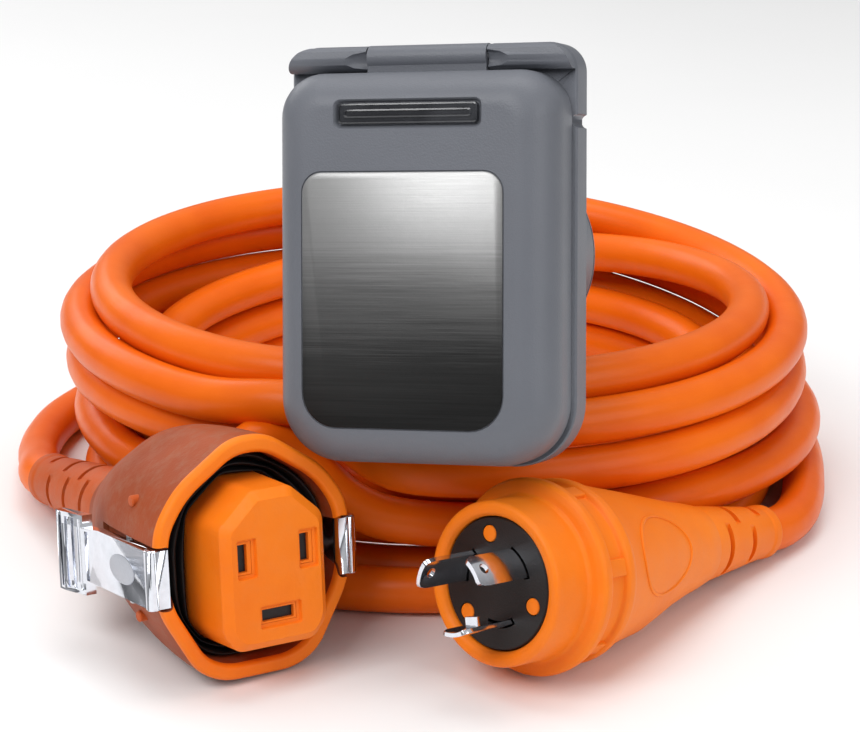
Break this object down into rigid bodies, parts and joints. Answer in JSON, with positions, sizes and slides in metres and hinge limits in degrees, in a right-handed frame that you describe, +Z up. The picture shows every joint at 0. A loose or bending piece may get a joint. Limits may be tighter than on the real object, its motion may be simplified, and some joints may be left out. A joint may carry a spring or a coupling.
{
  "type": "shore power cord set and inlet",
  "caption": "Orange coiled shore power cord set with a side-latching connector and a locking blade plug, and a grey hinged-cover power inlet leaning on the coil.",
  "frame": {"origin": "on the floor, under the middle of the connector and the inlet", "axes": "+Z up, +X to the right seen from the front, +Y away from the viewer, towards the coil"},
  "size_m": [0.3374, 0.3778, 0.2175],
  "materials": {
    "orange_rubber": "satin",
    "orange_cable": "satin",
    "grey_plastic": "satin",
    "black_rubber": "matte",
    "black_plastic": "matte",
    "chrome": "polished",
    "steel": "brushed",
    "brass": "satin",
    "clear_plastic": "clear"
  },
  "bodies": {
    "cordset": {"connector_shell": "orange_rubber", "connector_core": "orange_rubber", "connector_contact_hot": "brass", "connector_contact_neutral": "brass", "connector_contact_earth": "brass", "connector_wiper_seal": "black_rubber", "connector_core_seal": "black_rubber", "connector_latch_pin_right": "steel", "connector_latch_pin_left": "steel", "connector_latch_spring_right": "steel", "connector_latch_spring_left": "steel", "connector_strain_relief": "orange_rubber", "plug_body": "orange_rubber", "plug_face_disc": "black_plastic", "plug_blade_neutral": "chrome", "plug_blade_hot": "chrome", "plug_blade_earth": "chrome", "plug_peg_1": "orange_rubber", "plug_peg_2": "orange_rubber", "plug_peg_3": "orange_rubber", "plug_strain_relief": "orange_rubber", "cord_coil": "orange_cable", "cord_connector_lead": "orange_cable", "cord_plug_lead": "orange_cable"},
    "latch_left": {"connector_latch_left": "chrome"},
    "latch_right": {"connector_latch_right": "chrome"},
    "inlet": {"inlet_flange": "grey_plastic", "inlet_shroud": "grey_plastic", "inlet_blade_carrier": "black_plastic", "inlet_blade_hot": "brass", "inlet_blade_neutral": "brass", "inlet_blade_earth": "brass", "inlet_terminal_screw_hot": "brass", "inlet_terminal_screw_neutral": "brass", "inlet_terminal_screw_earth": "brass", "inlet_wall_gasket": "black_rubber", "inlet_rear_housing": "grey_plastic", "inlet_rear_cap": "grey_plastic", "inlet_cable_grommet": "black_rubber", "inlet_mounting_screw_1": "steel", "inlet_mounting_screw_2": "steel", "inlet_mounting_screw_3": "steel", "inlet_mounting_screw_4": "steel", "inlet_hinge_pin": "steel"},
    "cover": {"cover_shell": "grey_plastic", "cover_label_plate": "steel", "cover_window_lens": "clear_plastic", "cover_seal": "black_rubber"}
  },
  "joints": [
    {"name": "inlet_lift", "type": "slide", "parent": "cordset", "child": "inlet", "axis": [0, 0, 1], "range_m": [0, 0.12]},
    {"name": "cover_hinge", "type": "hinge", "parent": "inlet", "child": "cover", "pos_m": [0.05013, -0.00769, 0.20863], "axis": [-0.9397, 0.328, -0.0969], "range_deg": [0, 105]},
    {"name": "latch_right_hinge", "type": "hinge", "parent": "cordset", "child": "latch_right", "pos_m": [0.00667, -0.02231, 0.03626], "axis": [-0.0364, 0.1563, 0.987], "range_deg": [0, 9], "stiffness_Nm_per_rad": 0.2, "springref_deg": -5.73, "deforming": ["connector_latch_spring_right"]},
    {"name": "latch_left_hinge", "type": "hinge", "parent": "cordset", "child": "latch_left", "pos_m": [-0.05374, -0.06055, 0.04009], "axis": [0.0364, -0.1563, -0.987], "range_deg": [0, 9], "stiffness_Nm_per_rad": 0.2, "springref_deg": -5.73, "deforming": ["connector_latch_spring_left"]}
  ]
}
